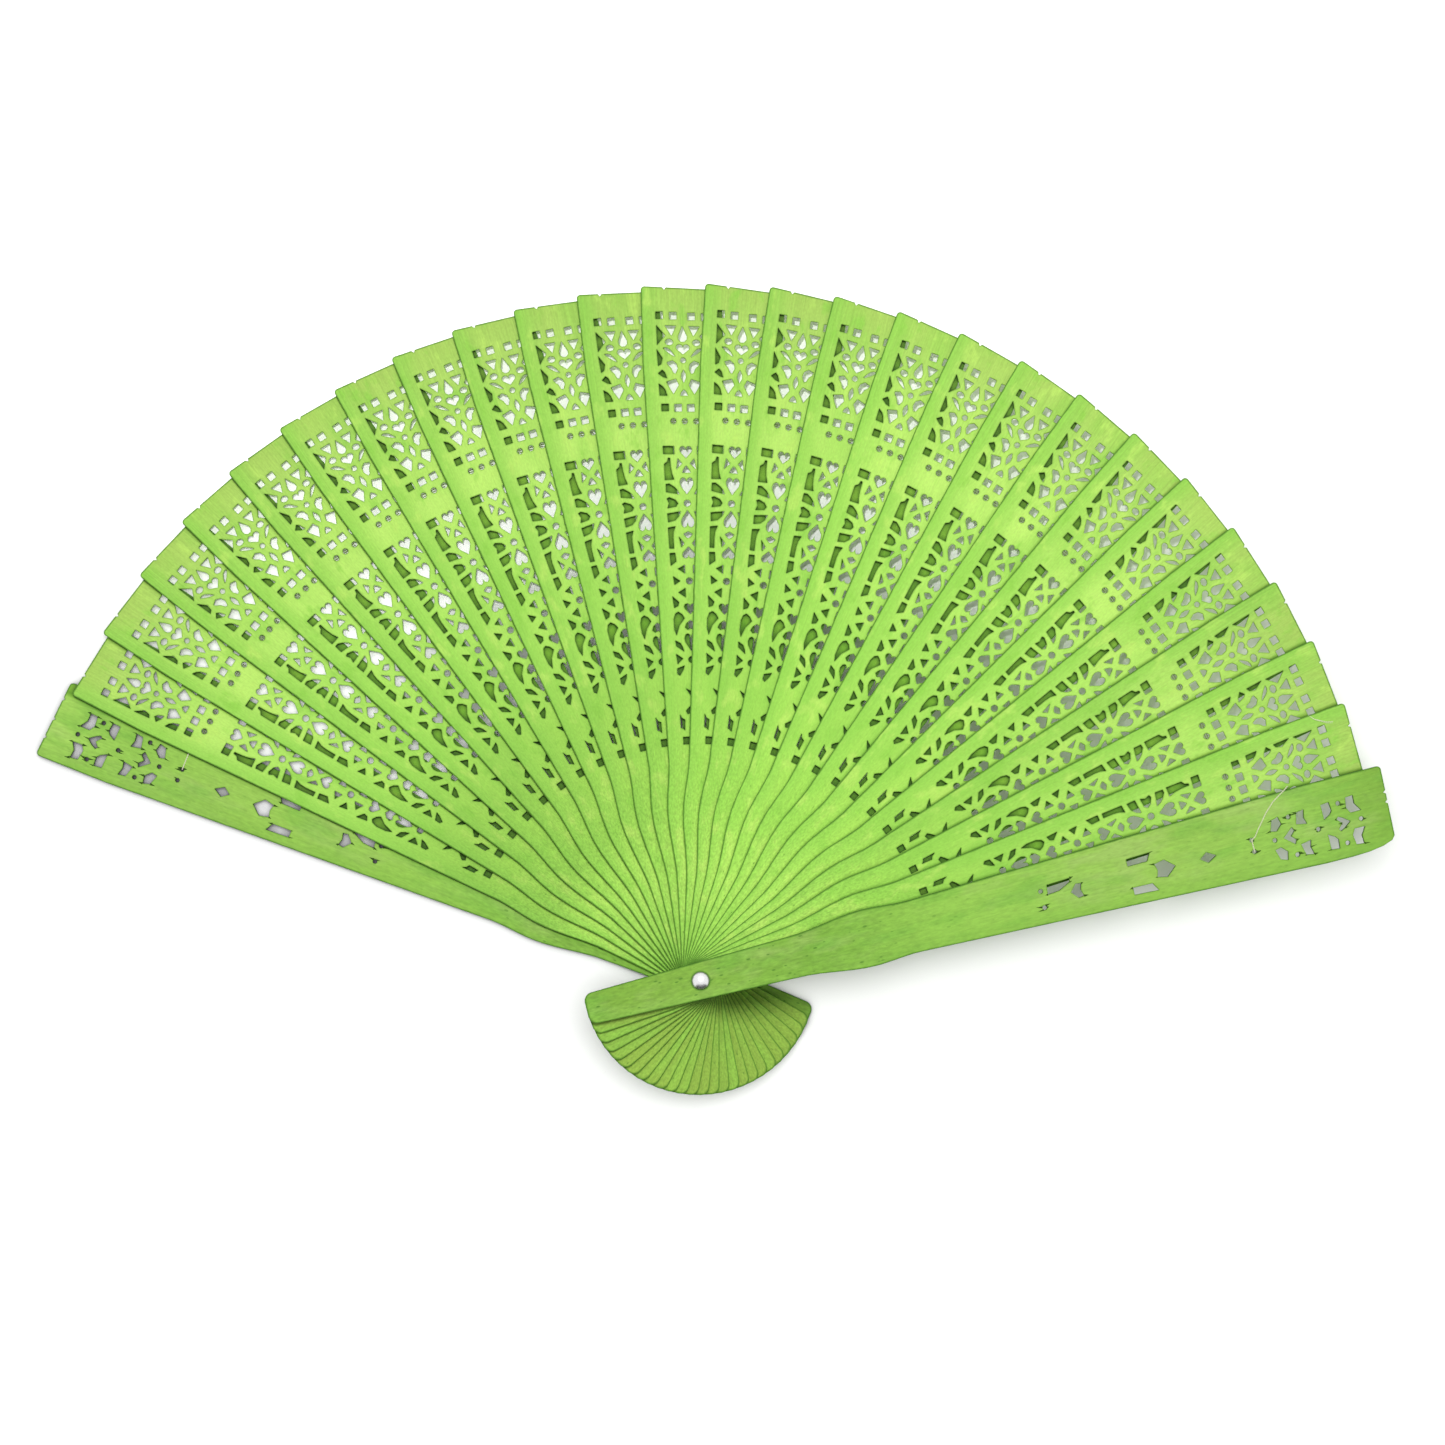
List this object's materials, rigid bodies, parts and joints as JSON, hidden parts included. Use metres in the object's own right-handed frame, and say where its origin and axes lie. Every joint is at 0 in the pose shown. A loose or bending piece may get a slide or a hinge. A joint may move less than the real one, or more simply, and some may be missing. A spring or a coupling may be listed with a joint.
{
  "type": "folding hand fan",
  "caption": "Open folding fan: pierced wooden sticks between thicker guards, which fold together on a rivet near their tails and are linked by a thread below their tips.",
  "frame": {"origin": "on the rivet's axis, in the plane of the rear guard's back", "axes": "+Z along the rivet towards its domed head, +X to the right and +Y up as the open fan is seen from its front"},
  "size_m": [0.3321, 0.1985, 0.0258],
  "materials": {
    "stick_wood": "satin",
    "guard_wood": "satin",
    "rivet_metal": "polished",
    "thread": "matte"
  },
  "bodies": {
    "rear_guard": {"rear_guard": "guard_wood", "rivet": "rivet_metal", "rivet_burr": "rivet_metal", "rear_thread": "thread"},
    "stick_01": {"stick_01": "stick_wood", "thread_01": "thread"},
    "stick_02": {"stick_02": "stick_wood", "thread_02": "thread"},
    "stick_03": {"stick_03": "stick_wood", "thread_03": "thread"},
    "stick_04": {"stick_04": "stick_wood", "thread_04": "thread"},
    "stick_05": {"stick_05": "stick_wood", "thread_05": "thread"},
    "stick_06": {"stick_06": "stick_wood", "thread_06": "thread"},
    "stick_07": {"stick_07": "stick_wood", "thread_07": "thread"},
    "stick_08": {"stick_08": "stick_wood", "thread_08": "thread"},
    "stick_09": {"stick_09": "stick_wood", "thread_09": "thread"},
    "stick_10": {"stick_10": "stick_wood", "thread_10": "thread"},
    "stick_11": {"stick_11": "stick_wood", "thread_11": "thread"},
    "stick_12": {"stick_12": "stick_wood", "thread_12": "thread"},
    "stick_13": {"stick_13": "stick_wood", "thread_13": "thread"},
    "stick_14": {"stick_14": "stick_wood", "thread_14": "thread"},
    "stick_15": {"stick_15": "stick_wood", "thread_15": "thread"},
    "stick_16": {"stick_16": "stick_wood", "thread_16": "thread"},
    "stick_17": {"stick_17": "stick_wood", "thread_17": "thread"},
    "stick_18": {"stick_18": "stick_wood", "thread_18": "thread"},
    "stick_19": {"stick_19": "stick_wood", "thread_19": "thread"},
    "stick_20": {"stick_20": "stick_wood", "thread_20": "thread"},
    "stick_21": {"stick_21": "stick_wood", "thread_21": "thread"},
    "stick_22": {"stick_22": "stick_wood", "thread_22": "thread"},
    "stick_23": {"stick_23": "stick_wood", "thread_23": "thread"},
    "stick_24": {"stick_24": "stick_wood", "thread_24": "thread"},
    "stick_25": {"stick_25": "stick_wood", "thread_25": "thread"},
    "front_guard": {"front_guard": "guard_wood", "front_thread": "thread"}
  },
  "joints": [
    {"name": "front_guard_turn", "type": "hinge", "parent": "rear_guard", "child": "front_guard", "pos_m": [0, 0, 0], "axis": [0, 0, 1], "range_deg": [0, 144]},
    {"name": "stick_01_turn", "type": "hinge", "parent": "rear_guard", "child": "stick_01", "pos_m": [0, 0, 0], "axis": [0, 0, 1], "range_deg": [0, 5.73]},
    {"name": "stick_02_turn", "type": "hinge", "parent": "rear_guard", "child": "stick_02", "pos_m": [0, 0, 0], "axis": [0, 0, 1], "range_deg": [0, 11.45]},
    {"name": "stick_03_turn", "type": "hinge", "parent": "rear_guard", "child": "stick_03", "pos_m": [0, 0, 0], "axis": [0, 0, 1], "range_deg": [0, 17.15]},
    {"name": "stick_04_turn", "type": "hinge", "parent": "rear_guard", "child": "stick_04", "pos_m": [0, 0, 0], "axis": [0, 0, 1], "range_deg": [0, 22.81]},
    {"name": "stick_05_turn", "type": "hinge", "parent": "rear_guard", "child": "stick_05", "pos_m": [0, 0, 0], "axis": [0, 0, 1], "range_deg": [0, 28.44]},
    {"name": "stick_06_turn", "type": "hinge", "parent": "rear_guard", "child": "stick_06", "pos_m": [0, 0, 0], "axis": [0, 0, 1], "range_deg": [0, 34.02]},
    {"name": "stick_07_turn", "type": "hinge", "parent": "rear_guard", "child": "stick_07", "pos_m": [0, 0, 0], "axis": [0, 0, 1], "range_deg": [0, 39.56]},
    {"name": "stick_08_turn", "type": "hinge", "parent": "rear_guard", "child": "stick_08", "pos_m": [0, 0, 0], "axis": [0, 0, 1], "range_deg": [0, 45.06]},
    {"name": "stick_09_turn", "type": "hinge", "parent": "rear_guard", "child": "stick_09", "pos_m": [0, 0, 0], "axis": [0, 0, 1], "range_deg": [0, 50.51]},
    {"name": "stick_10_turn", "type": "hinge", "parent": "rear_guard", "child": "stick_10", "pos_m": [0, 0, 0], "axis": [0, 0, 1], "range_deg": [0, 55.92]},
    {"name": "stick_11_turn", "type": "hinge", "parent": "rear_guard", "child": "stick_11", "pos_m": [0, 0, 0], "axis": [0, 0, 1], "range_deg": [0, 61.3]},
    {"name": "stick_12_turn", "type": "hinge", "parent": "rear_guard", "child": "stick_12", "pos_m": [0, 0, 0], "axis": [0, 0, 1], "range_deg": [0, 66.65]},
    {"name": "stick_13_turn", "type": "hinge", "parent": "rear_guard", "child": "stick_13", "pos_m": [0, 0, 0], "axis": [0, 0, 1], "range_deg": [0, 72]},
    {"name": "stick_14_turn", "type": "hinge", "parent": "rear_guard", "child": "stick_14", "pos_m": [0, 0, 0], "axis": [0, 0, 1], "range_deg": [0, 77.35]},
    {"name": "stick_15_turn", "type": "hinge", "parent": "rear_guard", "child": "stick_15", "pos_m": [0, 0, 0], "axis": [0, 0, 1], "range_deg": [0, 82.71]},
    {"name": "stick_16_turn", "type": "hinge", "parent": "rear_guard", "child": "stick_16", "pos_m": [0, 0, 0], "axis": [0, 0, 1], "range_deg": [0, 88.08]},
    {"name": "stick_17_turn", "type": "hinge", "parent": "rear_guard", "child": "stick_17", "pos_m": [0, 0, 0], "axis": [0, 0, 1], "range_deg": [0, 93.5]},
    {"name": "stick_18_turn", "type": "hinge", "parent": "rear_guard", "child": "stick_18", "pos_m": [0, 0, 0], "axis": [0, 0, 1], "range_deg": [0, 98.94]},
    {"name": "stick_19_turn", "type": "hinge", "parent": "rear_guard", "child": "stick_19", "pos_m": [0, 0, 0], "axis": [0, 0, 1], "range_deg": [0, 104.44]},
    {"name": "stick_20_turn", "type": "hinge", "parent": "rear_guard", "child": "stick_20", "pos_m": [0, 0, 0], "axis": [0, 0, 1], "range_deg": [0, 109.98]},
    {"name": "stick_21_turn", "type": "hinge", "parent": "rear_guard", "child": "stick_21", "pos_m": [0, 0, 0], "axis": [0, 0, 1], "range_deg": [0, 115.56]},
    {"name": "stick_22_turn", "type": "hinge", "parent": "rear_guard", "child": "stick_22", "pos_m": [0, 0, 0], "axis": [0, 0, 1], "range_deg": [0, 121.19]},
    {"name": "stick_23_turn", "type": "hinge", "parent": "rear_guard", "child": "stick_23", "pos_m": [0, 0, 0], "axis": [0, 0, 1], "range_deg": [0, 126.86]},
    {"name": "stick_24_turn", "type": "hinge", "parent": "rear_guard", "child": "stick_24", "pos_m": [0, 0, 0], "axis": [0, 0, 1], "range_deg": [0, 132.55]},
    {"name": "stick_25_turn", "type": "hinge", "parent": "rear_guard", "child": "stick_25", "pos_m": [0, 0, 0], "axis": [0, 0, 1], "range_deg": [0, 138.27]}
  ],
  "couplings": [
    {"joint": "stick_01_turn", "follows": "front_guard_turn", "ratio": 0.039791},
    {"joint": "stick_02_turn", "follows": "front_guard_turn", "ratio": 0.079504},
    {"joint": "stick_03_turn", "follows": "front_guard_turn", "ratio": 0.11907},
    {"joint": "stick_04_turn", "follows": "front_guard_turn", "ratio": 0.15842},
    {"joint": "stick_05_turn", "follows": "front_guard_turn", "ratio": 0.1975},
    {"joint": "stick_06_turn", "follows": "front_guard_turn", "ratio": 0.23628},
    {"joint": "stick_07_turn", "follows": "front_guard_turn", "ratio": 0.27475},
    {"joint": "stick_08_turn", "follows": "front_guard_turn", "ratio": 0.31289},
    {"joint": "stick_09_turn", "follows": "front_guard_turn", "ratio": 0.35073},
    {"joint": "stick_10_turn", "follows": "front_guard_turn", "ratio": 0.3883},
    {"joint": "stick_11_turn", "follows": "front_guard_turn", "ratio": 0.42566},
    {"joint": "stick_12_turn", "follows": "front_guard_turn", "ratio": 0.46287},
    {"joint": "stick_13_turn", "follows": "front_guard_turn", "ratio": 0.5},
    {"joint": "stick_14_turn", "follows": "front_guard_turn", "ratio": 0.53713},
    {"joint": "stick_15_turn", "follows": "front_guard_turn", "ratio": 0.57434},
    {"joint": "stick_16_turn", "follows": "front_guard_turn", "ratio": 0.6117},
    {"joint": "stick_17_turn", "follows": "front_guard_turn", "ratio": 0.64927},
    {"joint": "stick_18_turn", "follows": "front_guard_turn", "ratio": 0.68711},
    {"joint": "stick_19_turn", "follows": "front_guard_turn", "ratio": 0.72525},
    {"joint": "stick_20_turn", "follows": "front_guard_turn", "ratio": 0.76372},
    {"joint": "stick_21_turn", "follows": "front_guard_turn", "ratio": 0.8025},
    {"joint": "stick_22_turn", "follows": "front_guard_turn", "ratio": 0.84158},
    {"joint": "stick_23_turn", "follows": "front_guard_turn", "ratio": 0.88093},
    {"joint": "stick_24_turn", "follows": "front_guard_turn", "ratio": 0.92049},
    {"joint": "stick_25_turn", "follows": "front_guard_turn", "ratio": 0.96021}
  ]
}
